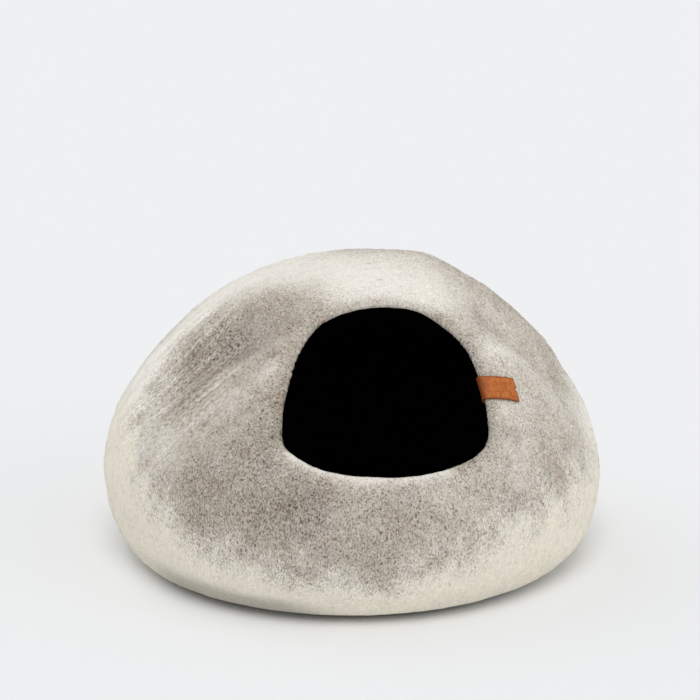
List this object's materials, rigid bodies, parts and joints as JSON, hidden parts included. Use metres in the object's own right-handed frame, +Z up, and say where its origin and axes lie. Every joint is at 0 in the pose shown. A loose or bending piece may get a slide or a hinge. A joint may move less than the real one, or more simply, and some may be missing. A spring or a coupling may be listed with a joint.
{
  "type": "cat cave bed",
  "caption": "Hollow dome of thick seamless wool felt with a rounded mouth in its front and a folded leather tab on the mouth's rim.",
  "frame": {"origin": "on the floor under the middle of the cave", "axes": "+Z up; the mouth faces -Y, about ten degrees towards +X; +X across the front, to the right as the mouth is faced"},
  "size_m": [0.5, 0.4862, 0.2999],
  "materials": {
    "felt": "matted grey and cream wool felt",
    "leather": "tan vegetable-tanned leather, satin"
  },
  "bodies": {
    "root": {"felt_shell": "felt", "leather_tab": "leather"}
  },
  "joints": []
}
